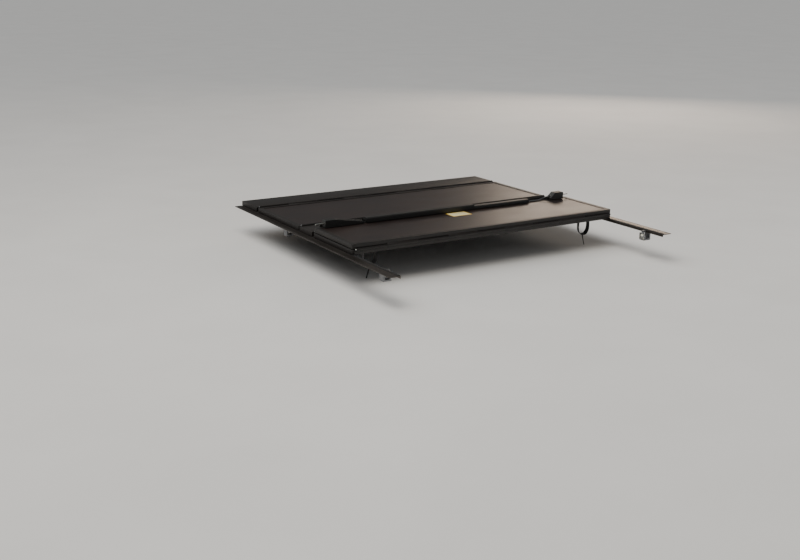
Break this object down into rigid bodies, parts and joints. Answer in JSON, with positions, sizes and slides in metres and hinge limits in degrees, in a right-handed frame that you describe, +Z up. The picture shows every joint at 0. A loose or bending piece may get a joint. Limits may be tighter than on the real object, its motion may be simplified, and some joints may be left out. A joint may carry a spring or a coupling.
{
  "type": "tonneau cover",
  "caption": "Hard folding pickup bed cover on two side rails, its rear panel folded onto its middle panel, with hinges, latches, clamps and prop rods.",
  "frame": {"origin": "centre of the header seal's underside, on the plane of the bed rails", "axes": "+X to the right seen from the tailgate, +Y toward the cab, +Z up"},
  "size_m": [1.72, 1.707, 0.2392],
  "materials": {
    "textured_skin": "textured black powder coat, satin",
    "foam_core": "rigid foam",
    "black_aluminium": "black powder coat",
    "satin_aluminium": "black anodised, satin",
    "black_plastic": "moulded, matt",
    "rubber": "extruded EPDM, matt",
    "zinc": "bright zinc plate",
    "cast_aluminium": "as cast",
    "steel": "drawn steel",
    "webbing": "woven polyester webbing"
  },
  "bodies": {
    "root": {"side_rail_left": "satin_aluminium", "side_rail_right": "satin_aluminium", "rail_seal_left": "rubber", "rail_seal_right": "rubber", "header_panel": "black_aluminium", "header_seal": "rubber", "header_hinge_pin": "steel", "rear_clamp_left": "cast_aluminium", "rear_clamp_right": "cast_aluminium", "front_clamp_left": "cast_aluminium", "front_clamp_right": "cast_aluminium", "rear_clamp_bolt_left": "zinc", "rear_clamp_bolt_right": "zinc", "front_clamp_bolt_left": "zinc", "front_clamp_bolt_right": "zinc"},
    "front_panel": {"front_panel_top_skin": "textured_skin", "front_panel_core": "foam_core", "front_panel_bottom_skin": "textured_skin", "front_panel_frame_left": "black_aluminium", "front_panel_frame_right": "black_aluminium", "front_panel_rear_hinge_rail": "black_aluminium", "front_panel_front_hinge_rail": "black_aluminium", "front_panel_hinge_pin": "steel", "prop_rod_bracket_left": "black_aluminium", "prop_rod_bracket_right": "black_aluminium"},
    "left_rod": {"prop_rod_left": "steel"},
    "right_rod": {"prop_rod_right": "steel"},
    "spacer": {"spacer_panel": "black_aluminium", "spacer_hinge_pin": "steel"},
    "middle_panel": {"middle_panel_top_skin": "textured_skin", "middle_panel_core": "foam_core", "middle_panel_bottom_skin": "textured_skin", "middle_panel_frame_left": "black_aluminium", "middle_panel_frame_right": "black_aluminium", "middle_panel_rear_hinge_rail": "black_aluminium", "middle_panel_front_hinge_rail": "black_aluminium", "middle_panel_hinge_pin": "zinc", "strap_anchor_left": "black_plastic", "strap_anchor_right": "black_plastic", "strap_loop_left": "webbing", "strap_loop_right": "webbing", "strap_tail_left": "webbing", "strap_tail_right": "webbing"},
    "rear_panel": {"rear_panel_top_skin": "textured_skin", "rear_panel_core": "foam_core", "rear_panel_bottom_skin": "textured_skin", "rear_panel_frame_left": "black_aluminium", "rear_panel_frame_right": "black_aluminium", "rear_panel_tail_rail": "black_aluminium", "rear_panel_front_hinge_rail": "black_aluminium", "tail_seal": "rubber", "tail_cover_long": "black_plastic", "tail_cover_short": "black_plastic", "latch_housing_left": "black_plastic", "latch_housing_right": "black_plastic", "latch_spring_left": "steel", "latch_spring_right": "steel", "release_cable": "steel"},
    "left_bolt": {"latch_bolt_left": "zinc"},
    "right_bolt": {"latch_bolt_right": "zinc"}
  },
  "joints": [
    {"name": "header_fold", "type": "hinge", "parent": "root", "child": "front_panel", "pos_m": [0, -0.1065, 0.0315], "axis": [1, 0, 0], "range_deg": [-90, 0]},
    {"name": "spacer_fold", "type": "hinge", "parent": "front_panel", "child": "spacer", "pos_m": [0, -0.6265, 0.0315], "axis": [-1, 0, 0], "range_deg": [0, 90]},
    {"name": "middle_fold", "type": "hinge", "parent": "spacer", "child": "middle_panel", "pos_m": [0, -0.7785, 0.0315], "axis": [-1, 0, 0], "range_deg": [0, 90]},
    {"name": "rear_fold", "type": "hinge", "parent": "middle_panel", "child": "rear_panel", "pos_m": [0, -1.2005, 0.0315], "axis": [1, 0, 0], "range_deg": [0, 180]},
    {"name": "left_latch", "type": "slide", "parent": "rear_panel", "child": "left_bolt", "axis": [1, 0, 0], "range_m": [0, 0.018], "stiffness_N_per_m": 400, "springref_m": -0.01, "deforming": ["latch_spring_left"]},
    {"name": "right_latch", "type": "slide", "parent": "rear_panel", "child": "right_bolt", "axis": [-1, 0, 0], "range_m": [0, 0.018], "stiffness_N_per_m": 400, "springref_m": -0.01, "deforming": ["latch_spring_right"]},
    {"name": "left_prop_rod", "type": "hinge", "parent": "front_panel", "child": "left_rod", "pos_m": [-0.745, -0.29625, -0.002], "axis": [-1, 0, 0], "range_deg": [-141, 0]},
    {"name": "right_prop_rod", "type": "hinge", "parent": "front_panel", "child": "right_rod", "pos_m": [0.745, -0.29625, -0.002], "axis": [-1, 0, 0], "range_deg": [-141, 0]}
  ],
  "couplings": [
    {"joint": "middle_fold", "follows": "spacer_fold", "ratio": 1},
    {"joint": "right_latch", "follows": "left_latch", "ratio": 1}
  ]
}
